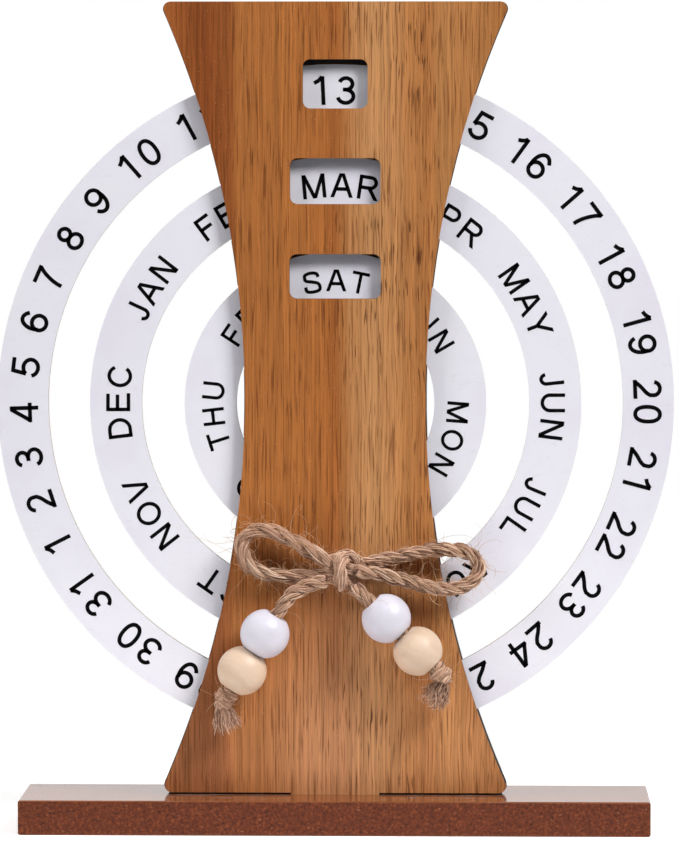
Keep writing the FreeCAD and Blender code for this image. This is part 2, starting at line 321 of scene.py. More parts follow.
class Finish:
    """A node material being put together."""

    def __init__(self, name, roughness=0.5, **settings):
        self.material = bpy.data.materials.new(name)
        self.material.use_nodes = True
        self.tree = self.material.node_tree
        self.shader = self.tree.nodes["Principled BSDF"]
        self.shader.inputs["Roughness"].default_value = roughness
        for socket, value in settings.items():
            self.shader.inputs[socket.replace("_", " ")].default_value = value

    def node(self, kind, output=0, options=None, **inputs):
        """Add a node, link or set its inputs (i0 is the first one), and give one of its outputs."""
        made = self.tree.nodes.new("ShaderNode" + kind)
        for option, value in (options or {}).items():
            setattr(made, option, value)
        for key, value in inputs.items():
            socket = made.inputs[int(key[1:])] if key[0] == "i" and key[1:].isdigit() else made.inputs[key]
            if isinstance(value, bpy.types.NodeSocket):
                self.tree.links.new(value, socket)
            else:
                socket.default_value = value
        return made.outputs[output]

    def sum(self, operation, first, second=0.0, third=0.0):
        """One step of arithmetic."""
        return self.node("Math", options={"operation": operation}, i0=first, i1=second, i2=third)

    def place(self):
        """Where a point of the surface is, in millimetres."""
        metres = self.node("TexCoord", output=3)
        return self.node("VectorMath", options={"operation": "SCALE"}, i0=metres, Scale=1000.0)

    def parts(self, vector):
        """The x, y and z of a vector."""
        made = self.tree.nodes.new("ShaderNodeSeparateXYZ")
        self.tree.links.new(vector, made.inputs[0])
        return made.outputs

    def join(self, x, y, z):
        """A vector from its three parts."""
        return self.node("CombineXYZ", i0=x, i1=y, i2=z)

    def stretched(self, vector, x, y, z):
        """A vector scaled along each axis."""
        return self.node("VectorMath", options={"operation": "MULTIPLY"}, i0=vector, i1=(x, y, z))

    def noise(self, vector, scale=1.0, detail=2.0, roughness=0.5, distortion=0.0):
        """Cloudy noise from 0 to 1."""
        return self.node("TexNoise", Vector=vector, Scale=scale, Detail=detail,
                         Roughness=roughness, Distortion=distortion)

    def between(self, value, low, high, to_low=0.0, to_high=1.0):
        """A value's range taken to another range, and held there."""
        return self.node("MapRange", Value=value, i1=low, i2=high, i3=to_low, i4=to_high)

    def ramp(self, value, stops, smooth=True):
        """Colours along a value. stops: (place, colour)."""
        made = self.tree.nodes.new("ShaderNodeValToRGB")
        made.color_ramp.interpolation = "EASE" if smooth else "LINEAR"
        while len(made.color_ramp.elements) < len(stops):
            made.color_ramp.elements.new(0.5)
        for element, (where, colour) in zip(made.color_ramp.elements, stops):
            element.position = where
            element.color = colour
        self.tree.links.new(value, made.inputs[0])
        return made.outputs[0]

    def mix(self, share, first, second, blend="MIX"):
        """Two colours mixed."""
        made = self.tree.nodes.new("ShaderNodeMix")
        made.data_type = "RGBA"
        made.blend_type = blend
        for socket, value in ((made.inputs[0], share), (made.inputs[6], first), (made.inputs[7], second)):
            if isinstance(value, bpy.types.NodeSocket):
                self.tree.links.new(value, socket)
            else:
                socket.default_value = value
        return made.outputs[2]

    def grey(self, value):
        """A value as a colour, for multiplying."""
        return self.node("CombineColor", i0=value, i1=value, i2=value)

    def bump(self, height, strength, distance):
        """Small relief from a height."""
        relief = self.node("Bump", Strength=strength, Distance=distance, Height=height)
        self.tree.links.new(relief, self.shader.inputs["Normal"])

    def colour(self, colour):
        """Set the colour, and give the finished material."""
        self.tree.links.new(colour, self.shader.inputs["Base Color"])
        return self.material


def veneer(name, bands, grain_across=False):
    """Printed wood-grain foil on board, with dark cut edges; on the plank, a band of painted shade where
    the panel stands.
    """
    made = Finish(name, roughness=0.5, Specular_IOR_Level=0.22)
    x, y, z = made.parts(made.place())
    along, over = (x, y) if grain_across else (z, x)

    def grain_noise(line, across, lengthways, seed, detail=2.0, roughness=0.5):
        where = made.join(made.sum("MULTIPLY", line, across), made.sum("MULTIPLY", along, lengthways), seed)
        return made.noise(where, detail=detail, roughness=roughness)

    slow = grain_noise(over, 0.022, 0.009, 0.0, 1.0)
    middle = grain_noise(over, 0.07, 0.026, 3.0)
    lively = made.between(over, 6.0, 24.0, 0.3, 1.0)
    shift = made.sum("MULTIPLY_ADD", made.sum("SUBTRACT", slow, 0.5), 7.0, over)
    waver = made.sum("MULTIPLY", made.sum("SUBTRACT", middle, 0.5), made.sum("MULTIPLY", lively, 2.8))
    grain = made.sum("ADD", over, waver)
    wide = made.ramp(made.between(shift, -PANEL_HALF, PANEL_HALF), bands)
    if not grain_across:
        low = made.between(z, 100.0, 25.0, 0.0, 0.62)
        low = made.sum("MULTIPLY", low, made.between(x, -24.0, -6.0, 0.3, 1.0))
        low = made.sum("MULTIPLY", low, made.between(x, 2.0, 16.0, 1.0, 0.30))
        wide = made.mix(low, wide, tint(216, 158, 114))
    broad = grain_noise(grain, 0.30, 0.0035, 7.0, 3.0, 0.6)
    wide = made.mix(1.0, wide, made.grey(made.between(broad, 0.32, 0.68, 0.88, 1.10)), "MULTIPLY")
    fine = grain_noise(grain, 1.5, 0.014, 1.0, 3.0, 0.75)
    streaky = made.mix(1.0, wide, made.grey(made.between(fine, 0.35, 0.65, 0.77, 1.21)), "MULTIPLY")
    thread = grain_noise(grain, 1.9, 0.045, 11.0, 1.0)
    dark_line = made.sum("MULTIPLY", made.between(thread, 0.57, 0.66), 0.65)
    lined = made.mix(dark_line, streaky, tint(104, 54, 22))
    pore = grain_noise(grain, 1.9, 0.10, 5.0, 1.0)
    patch = grain_noise(over, 0.06, 0.02, 19.0, 1.0)
    dense = made.between(patch, 0.4, 0.6, 0.35, 1.0)
    dense = made.sum("MULTIPLY", dense, made.between(over, -20.0, 14.0, 0.5, 1.0))
    pit = made.sum("MULTIPLY", made.between(pore, 0.61, 0.69), dense)
    pitted = made.mix(made.sum("MULTIPLY", pit, 0.9), lined, tint(70, 32, 12))
    speck = made.join(made.sum("MULTIPLY", over, 1.5), made.sum("MULTIPLY", along, 1.5), 2.0)
    dust = made.between(made.noise(speck, detail=0.0), 0.74, 0.80)
    dusted = made.mix(made.sum("MULTIPLY", dust, 0.14), pitted, tint(232, 188, 146))
    facing = made.parts(made.node("NewGeometry", output=3))[2 if grain_across else 1]
    cut = made.between(made.sum("ABSOLUTE", facing), 0.45, 0.75)
    if grain_across:
        # Painted shade: a near-black band on the plank under the panel, made rough so it reflects nothing,
        # stands in for the shadow and dark reflection in the gap there.
        painted_contact_shade = made.sum("MULTIPLY",
                             made.sum("LESS_THAN", made.sum("ABSOLUTE", x), FOOT_HALF_WIDTH),
                             made.sum("LESS_THAN", made.sum("ABSOLUTE", y), FOOT_HALF_DEPTH))
        dusted = made.mix(painted_contact_shade, dusted, tint(22, 18, 16))
        rough = made.sum("MAXIMUM", made.between(cut, 0.0, 1.0, 0.6, 0.1), painted_contact_shade)
        made.tree.links.new(rough, made.shader.inputs["Roughness"])
        chips = made.noise(made.place(), scale=1.1, detail=3.0, roughness=0.7)
        flecks = made.noise(made.stretched(made.place(), 0.7, 1.6, 1.6), detail=0.0)
        edge = made.ramp(chips, [
            (0.28, tint(52, 18, 5)), (0.5, tint(90, 38, 13)), (0.72, tint(124, 62, 28)),
        ])
        chipped = made.sum("MULTIPLY", made.between(flecks, 0.72, 0.82), 0.4)
        edge = made.mix(chipped, edge, tint(168, 112, 80))
    else:
        scorch = made.noise(made.place(), scale=0.7, detail=3.0)
        edge = made.ramp(scorch, [(0.3, tint(34, 28, 26)), (0.7, tint(64, 52, 46))])
    made.bump(made.sum("SUBTRACT", made.sum("MULTIPLY", fine, 0.3), pit), 0.25, 0.00008)
    return made.colour(made.mix(cut, edge, dusted))


def spread(stops):
    """Colours across the panel, their places given in millimetres, for a ramp."""
    return [((where + PANEL_HALF) / (2 * PANEL_HALF), tint(*colour)) for where, colour in stops]


panel_bands = spread([
    (-56, (158, 91, 43)), (-47, (145, 80, 37)), (-41, (134, 71, 32)), (-34, (146, 82, 39)),
    (-31, (173, 107, 54)), (-16, (172, 106, 53)), (-5, (171, 104, 51)), (0, (163, 96, 46)),
    (3, (173, 111, 60)), (6, (188, 130, 80)), (12, (194, 139, 89)), (18, (189, 132, 82)),
    (24, (183, 122, 70)), (29, (180, 117, 65)), (34, (183, 125, 73)), (44, (177, 118, 67)),
    (56, (171, 111, 59)),
])
plank_bands = spread([
    (-56, (120, 70, 42)), (-20, (126, 74, 44)), (10, (116, 66, 39)), (56, (124, 72, 43)),
])
panel_foil = veneer("panel_foil", panel_bands)
plank_foil = veneer("plank_foil", plank_bands, grain_across=True)
plank_shader = plank_foil.node_tree.nodes["Principled BSDF"]
plank_shader.inputs["Specular IOR Level"].default_value = 0.28


def charcoal_board():
    """Dark dyed core board of the panel's middle layer."""
    made = Finish("dark_core_board", roughness=0.8)
    grit = made.noise(made.place(), scale=2.2, detail=4.0, roughness=0.7)
    made.bump(grit, 0.3, 0.0001)
    return made.colour(made.ramp(grit, [
        (0.3, tint(20, 18, 17)), (0.6, tint(38, 34, 32)), (0.8, tint(60, 54, 50)),
    ]))


def ring_core():
    """Thin grey-brown pressed board of the rings."""
    made = Finish("ring_core_board", roughness=0.75)
    place = made.place()
    grit = made.noise(place, scale=1.6, detail=5.0, roughness=0.75)
    felt = made.noise(made.stretched(place, 0.5, 2.0, 0.25), detail=3.0)
    base = made.ramp(grit, [
        (0.3, tint(150, 138, 128)), (0.55, tint(178, 167, 156)), (0.8, tint(200, 190, 180)),
    ])
    felted = made.ramp(felt, [(0.35, tint(140, 126, 114)), (0.65, tint(205, 196, 186))])
    made.bump(grit, 0.25, 0.0001)
    return made.colour(made.mix(0.25, base, felted))


def ring_paper():
    """Cool white printed card with faint creases, whose dark lines are painted shade."""
    made = Finish("ring_card", roughness=0.5)
    place = made.place()
    cloud = made.noise(place, scale=0.035, detail=3.0)
    tooth = made.noise(place, scale=3.0, detail=3.0, roughness=0.7)
    crease = made.noise(made.stretched(place, 0.06, 0.5, 0.16), detail=2.0, distortion=1.5)
    from_crease = made.sum("ABSOLUTE", made.sum("SUBTRACT", crease, 0.5))
    # The dark line along each crease is painted shade, on top of its bump.
    line = made.sum("MULTIPLY", made.between(from_crease, 0.0, 0.006, 1.0, 0.0), 0.16)
    base = made.ramp(cloud, [
        (0.3, tint(232, 229, 240)), (0.55, tint(236, 234, 242)), (0.75, tint(238, 236, 242)),
    ])
    base = made.mix(made.between(tooth, 0.3, 0.8, 0.0, 0.10), base, tint(214, 210, 222))
    made.bump(made.sum("SUBTRACT", cloud, made.sum("MULTIPLY", line, 2.0)), 0.15, 0.0004)
    return made.colour(made.mix(line, base, tint(188, 184, 196)))


def black_ink():
    """Printed black, a little uneven."""
    made = Finish("black_ink", roughness=0.75, Specular_IOR_Level=0.08)
    wear = made.noise(made.place(), scale=1.4, detail=3.0)
    return made.colour(made.ramp(wear, [(0.3, tint(2, 2, 3)), (0.75, tint(9, 9, 11))]))


def jute_fibre():
    """Dry jute: each fibre has its own shade."""
    made = Finish("jute_fibre", roughness=0.78, Sheen_Weight=0.12)
    shade = made.node("Attribute", output=2, options={"attribute_name": "shade"})
    place = made.place()
    spot = made.noise(place, scale=1.3, detail=2.0)
    share = made.sum("ADD", shade, made.sum("MULTIPLY", made.sum("SUBTRACT", spot, 0.5), 0.35))
    brown = made.ramp(share, [
        (0.0, tint(92, 62, 44)), (0.25, tint(158, 118, 92)), (0.5, tint(204, 164, 136)),
        (0.75, tint(224, 188, 160)), (1.0, tint(242, 216, 190)),
    ], smooth=False)
    region = made.noise(place, scale=0.06, detail=1.0)
    rosy = made.mix(made.between(region, 0.4, 0.6, 0.0, 0.35), brown, tint(200, 156, 134))
    return made.colour(rosy)


def stray_fibre():
    """Single loose hairs, which catch the light and look golden."""
    made = Finish("stray_jute_hair", roughness=0.5)
    shade = made.node("Attribute", output=2, options={"attribute_name": "shade"})
    return made.colour(made.ramp(shade, [
        (0.2, tint(134, 92, 62)), (0.6, tint(188, 142, 106)), (1.0, tint(226, 190, 154)),
    ], smooth=False))


def white_lacquer():
    """Glossy cool white paint over a turned bead."""
    made = Finish("white_lacquer", roughness=0.42, Coat_Weight=0.3, Coat_Roughness=0.32)
    place = made.place()
    cloud = made.noise(place, scale=0.12, detail=2.0)
    peel = made.noise(place, scale=0.9, detail=2.0)
    made.bump(peel, 0.12, 0.0002)
    return made.colour(made.ramp(cloud, [(0.3, tint(209, 206, 218)), (0.7, tint(215, 212, 222))]))


def pale_wood():
    """Sanded pale wood with faint rings and a waxed surface."""
    made = Finish("pale_bead_wood", roughness=0.5, Coat_Weight=0.1, Coat_Roughness=0.3)
    place = made.place()
    bend = made.noise(place, scale=0.12, detail=2.0)
    x, y, z = made.parts(place)
    slanted = made.sum("MULTIPLY_ADD", z, 0.45, made.sum("MULTIPLY", x, 0.3))
    stacked = made.sum("MULTIPLY_ADD", bend, 5.0, slanted)
    rings = made.noise(made.join(stacked, made.sum("MULTIPLY", y, 0.1), 0.0), scale=0.7, detail=1.0)
    pores = made.noise(made.stretched(place, 3.0, 3.0, 0.8), detail=2.0)
    base = made.ramp(rings, [
        (0.3, tint(210, 181, 155)), (0.5, tint(214, 187, 162)), (0.7, tint(218, 193, 169)),
    ])
    stain = made.noise(place, scale=0.35, detail=1.0)
    base = made.mix(made.between(stain, 0.62, 0.76, 0.0, 0.22), base, tint(196, 162, 124))
    made.bump(pores, 0.12, 0.0001)
    return made.colour(made.mix(made.between(pores, 0.62, 0.75, 0.0, 0.18), base, tint(200, 168, 130)))


def clear_glue():
    """Cloudy hot glue."""
    made = Finish("hot_glue", roughness=0.25, Transmission_Weight=0.35, IOR=1.48)
    cloud = made.noise(made.place(), scale=0.5, detail=2.0)
    made.bump(cloud, 0.3, 0.0003)
    return made.colour(made.ramp(cloud, [(0.35, tint(222, 214, 196)), (0.65, tint(238, 234, 222))]))


jute = jute_fibre()
hair = stray_fibre()
lacquer = white_lacquer()
bead_wood = pale_wood()
ink = black_ink()

node_finishes = {
    "base_plank": plank_foil, "front_panel": panel_foil, "back_panel": panel_foil,
    "glue_dab": clear_glue(),
}
core_board, ring_board, ring_card = charcoal_board(), ring_core(), ring_paper()
for name in ("bottom_spacer", "lower_outer_spacer", "lower_inner_spacer", "centre_spacer",
             "upper_inner_spacer", "upper_outer_spacer", "top_spacer"):
    node_finishes[name] = core_board
for name in ("date", "month", "weekday"):
    node_finishes[name + "_ring_face"] = ring_card
    node_finishes[name + "_ring_board"] = ring_board
for name, finish in node_finishes.items():
    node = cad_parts[name]
    node.data.materials.clear()
    node.data.materials.append(finish)


# ---------------------------------------------------------------- bow

def bow_loop(name, points, seed, pitch, hairs, longest, hairiness):
    """One loop of the bow, with its stray hairs."""
    line = smooth_line([from_knot(*point) for point in points])
    dice = np.random.default_rng(seed)
    twine = Bundle()
    twist_twine(twine, line, dice, pitch, hairiness)
    loop = twine.piece(name + "_twine", jute)
    fluff = Bundle()
    stray_hairs(fluff, line, dice, hairs, longest)
    stray_hairs(fluff, line, dice, hairs * 2, longest * 0.35, ahead_share=0.75)
    stray_hairs(fluff, line, dice, hairs * 3, longest * 0.22, ahead_share=0.85)
    loose = fluff.piece(name + "_hairs", hair)
    return line, loop, loose


left_line, left_loop, left_fluff = bow_loop(
    "bow_loop_left", LEFT_LOOP, seed=11, pitch=21.0 * MM, hairs=150, longest=20.0 * MM, hairiness=2.6)
right_line, right_loop, right_fluff = bow_loop(
    "bow_loop_right", RIGHT_LOOP, seed=23, pitch=13.5 * MM, hairs=150, longest=17.0 * MM, hairiness=1.3)
for loop, line, fluff, node, length in (
        (left_loop, left_line, left_fluff, "bow_loop_left", 0.0692),
        (right_loop, right_line, right_fluff, "bow_loop_right", 0.0870)):
    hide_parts(node)
    for piece in (loop, fluff):
        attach(piece, "stand")

# The knot: one turn stands up over the front, one lies across behind it, and short ends fill it.
# Each has its points and its share of the twine's thickness.
KNOT_TURNS = [
    ([(0.9, 3.0, 4.4), (-0.2, 6.4, 4.2), (-0.8, 8.3, 1.9), (-0.9, 8.6, -0.9), (-0.8, 7.9, -3.4),
      (-0.3, 5.4, -5.0), (0.4, 3.2, -4.2)], 1.0),
    ([(-5.2, 3.6, 0.4), (-3.6, 3.7, 3.4), (0.4, 4.2, 4.6), (4.0, 4.0, 4.0), (6.2, 3.5, 0.6)], 1.0),
    ([(-4.6, 4.4, -1.8), (-1.8, 5.4, -2.4), (2.0, 5.4, -3.2), (4.6, 6.6, -5.4)], 0.9),
    ([(-5.2, 4.6, 1.0), (-1.6, 5.2, 0.4), (2.4, 5.2, 0.2), (5.4, 4.8, 0.6)], 0.95),
]
knot = Bundle()
knot_fluff = Bundle()
knot_dice = np.random.default_rng(37)
for turn, girth in KNOT_TURNS:
    turn_line = smooth_line([from_knot(*point) for point in turn])
    twist_twine(knot, turn_line, knot_dice, 15.0 * MM, girth=girth)
    stray_hairs(knot_fluff, turn_line, knot_dice, 26, 7.0 * MM)
knot_piece = knot.piece("bow_knot_twine", jute)
knot_hairs = knot_fluff.piece("bow_knot_hairs", hair)
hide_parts("bow_knot")
for piece in (knot_piece, knot_hairs):
    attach(piece, "stand")


# ---------------------------------------------------------------- beads

def select_nothing(mesh):
    """Clear a mesh's selection."""
    for item in (*mesh.vertices, *mesh.edges, *mesh.polygons):
        item.select = False


def turned_bead(name, middle, along, finish):
    """A truncated ball with a hole through it and soft rims, threaded along a line."""
    bpy.ops.object.select_all(action="DESELECT")
    bpy.ops.mesh.primitive_uv_sphere_add(segments=72, ring_count=48, radius=BEAD_DIAMETER / 2)
    bead = bpy.context.object
    bead.name = name
    bpy.ops.object.mode_set(mode="EDIT")
    for end in (1, -1):
        bpy.ops.mesh.select_all(action="SELECT")
        bpy.ops.mesh.bisect(plane_co=(0, 0, end * BEAD_LENGTH / 2), plane_no=(0, 0, end),
                            use_fill=True, clear_outer=True)
    bpy.ops.object.mode_set(mode="OBJECT")
    flat = [face for face in bead.data.polygons if abs(face.normal.z) > 0.999]
    rim = max((bead.data.vertices[index].co.xy.length for index in flat[0].vertices))
    select_nothing(bead.data)
    for face in flat:
        face.select = True
    bpy.ops.object.mode_set(mode="EDIT")
    bpy.ops.mesh.select_mode(type="FACE")
    bpy.ops.mesh.inset(thickness=rim - BEAD_HOLE / 2, use_even_offset=False)
    bpy.ops.mesh.bridge_edge_loops()
    bpy.ops.object.mode_set(mode="OBJECT")
    select_nothing(bead.data)
    for edge in bead.data.edges:
        ends = [bead.data.vertices[index].co for index in edge.vertices]
        level = all(abs(abs(end.z) - BEAD_LENGTH / 2) < 1e-6 for end in ends)
        same = abs(ends[0].xy.length - ends[1].xy.length) < 1e-6
        edge.select = level and same
    bpy.ops.object.mode_set(mode="EDIT")
    bpy.ops.mesh.select_mode(type="EDGE")
    bpy.ops.mesh.bevel(offset=0.0007, segments=5, affect="EDGES")
    bpy.ops.mesh.select_all(action="SELECT")
    bpy.ops.mesh.remove_doubles(threshold=1e-6)
    bpy.ops.mesh.normals_make_consistent(inside=False)
    bpy.ops.object.mode_set(mode="OBJECT")
    bpy.ops.object.shade_smooth()
    bead.data.transform(Matrix.Translation(middle) @ along.to_track_quat("Z", "Y").to_matrix().to_4x4())
    bead.data.materials.append(finish)
    bead.select_set(False)
    return bead


# ---------------------------------------------------------------- tails with beads and end knots

def end_knot(side, middle, along, tip, curly, dice):
    """The stopper knot and the frayed end below it, with its loose hairs."""
    bundle, fluff = Bundle(), Bundle()
    start = np.array(middle - along * 0.0026)
    across = along.cross(Vector((0, 1, 0))).normalized()
    front = Vector((0, -1, 0))
    turns = []
    for step in range(COIL_POINTS):
        angle = math.radians(-60 + COIL_STEP * step)
        lift = along * (-0.0018 + 0.00045 * step)
        outward = across * (COIL_REACH * math.cos(angle)) + front * (COIL_REACH * math.sin(angle))
        turns.append(middle + lift + outward)
    coil = smooth_line(turns)
    twist_twine(bundle, coil, dice, 11.0 * MM, hairiness=1.6, girth=0.92)
    through = smooth_line([Vector(start), middle, middle + along * 0.0038])
    twist_twine(bundle, through, dice, 11.0 * MM, girth=0.9)
    stray_hairs(fluff, coil, dice, 110, 9.0 * MM)
    root = middle + along * 0.0020
    fall = tip - root
    turn = dice.uniform(0, 2 * math.pi, TUFT_FIBRES)
    size = np.sqrt(dice.uniform(0, 1, TUFT_FIBRES))
    down = np.array(fall.normalized())
    right = unit(np.cross(down, [0.0, 1.0, 0.0]))
    ahead = np.cross(right, down)
    disc = np.cos(turn)[:, None] * right + np.sin(turn)[:, None] * ahead
    reach = fall.length * dice.uniform(0.7, 1.02, TUFT_FIBRES)
    part = np.linspace(0.0, 1.0, TUFT_POINTS)
    width = TUFT_ROOT + (TUFT_TIP - TUFT_ROOT) * part[None] ** 0.7
    lines = (np.array(root) + (reach[:, None] * part[None])[:, :, None] * down
             + (size[:, None] * width)[:, :, None] * disc[:, None])
    sway = [wander(dice, TUFT_FIBRES, TUFT_POINTS, 2.2, 0.0005 * curly) for axis in range(3)]
    lines = lines + np.stack(sway, axis=2) * part[None, :, None]
    lines[:, :, 1] = np.minimum(lines[:, :, 1], panel_face - 0.3 * MM)
    thick = dice.uniform(0.09, 0.16, (TUFT_FIBRES, 1)) * MM * np.linspace(1.0, 0.6, TUFT_POINTS)[None]
    tone = np.clip(dice.normal(0.28, 0.24, (TUFT_FIBRES, 1)) + 0.1 * part[None], 0, 1)
    bundle.tubes(lines, thick, tone, sides=4)
    knot_made = bundle.piece("end_knot_" + side + "_twine", jute)
    hairs_made = fluff.piece("end_knot_" + side + "_hairs", hair)
    return knot_made, hairs_made


for side, tail in TAILS.items():
    dice = np.random.default_rng(tail["seed"])
    lean = math.radians(tail["lean"])
    along = Vector((math.sin(lean), 0.0, -math.cos(lean)))
    bends = [from_knot(*point) for point in tail["bends"]]
    first = bends[-1] + along * (tail["lead"] + BEAD_LENGTH / 2)
    second = first + along * (BEAD_LENGTH + tail["bead_gap"])
    stop = second + along * (BEAD_LENGTH / 2 + END_KNOT_AHEAD)
    line = smooth_line(bends + [stop])
    twine, fluff = Bundle(), Bundle()
    twist_twine(twine, line, dice, 14.0 * MM)
    stray_hairs(fluff, line, dice, 45, 14.0 * MM, share=(0.0, 0.36))
    tail_piece = twine.piece("tail_" + side + "_twine", jute)
    tail_hairs = fluff.piece("tail_" + side + "_hairs", hair)
    white = turned_bead("white_bead_" + side + "_turned", first, along, lacquer)
    wood = turned_bead("wood_bead_" + side + "_turned", second, along, bead_wood)
    tip = from_knot(*tail["tuft_tip"])
    knot_made, knot_fuzz = end_knot(side, stop, along, tip, tail["curly"], dice)
    for piece, body, slot, node in (
            (tail_piece, side + "_tail", "jute", "tail_" + side),
            (tail_hairs, side + "_tail", "jute", None),
            (knot_made, side + "_tail", "jute", "end_knot_" + side),
            (knot_fuzz, side + "_tail", "jute", None),
            (white, side + "_white_bead", "white_lacquer", "white_bead_" + side),
            (wood, side + "_wood_bead", "bare_wood", "wood_bead_" + side)):
        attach(piece, body)
        if node:
            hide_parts(node)


# ---------------------------------------------------------------- lettering

def arc(middle_x, middle_y, wide, high, start, end, steps=18, power=2.0):
    """Points of a pen's path round an oval, from one angle to another in degrees."""
    places = []
    for step in range(steps + 1):
        angle = math.radians(start + (end - start) * step / steps)
        c, s = math.cos(angle), math.sin(angle)
        places.append((middle_x + wide * math.copysign(abs(c) ** (2 / power), c),
                       middle_y + high * math.copysign(abs(s) ** (2 / power), s)))
    return places


def flow(points, steps=6):
    """A smooth pen path through the given points."""
    held = [points[0], *points, points[-1]]
    places = []
    for a, b, c, d in zip(held, held[1:], held[2:], held[3:]):
        for step in range(steps):
            t = step / steps
            places.append(tuple(0.5 * (2 * b[k] + (c[k] - a[k]) * t
                                       + (2 * a[k] - 5 * b[k] + 4 * c[k] - d[k]) * t * t
                                       + (3 * b[k] - a[k] - 3 * c[k] + d[k]) * t ** 3) for k in (0, 1)))
    return places + [points[-1]]


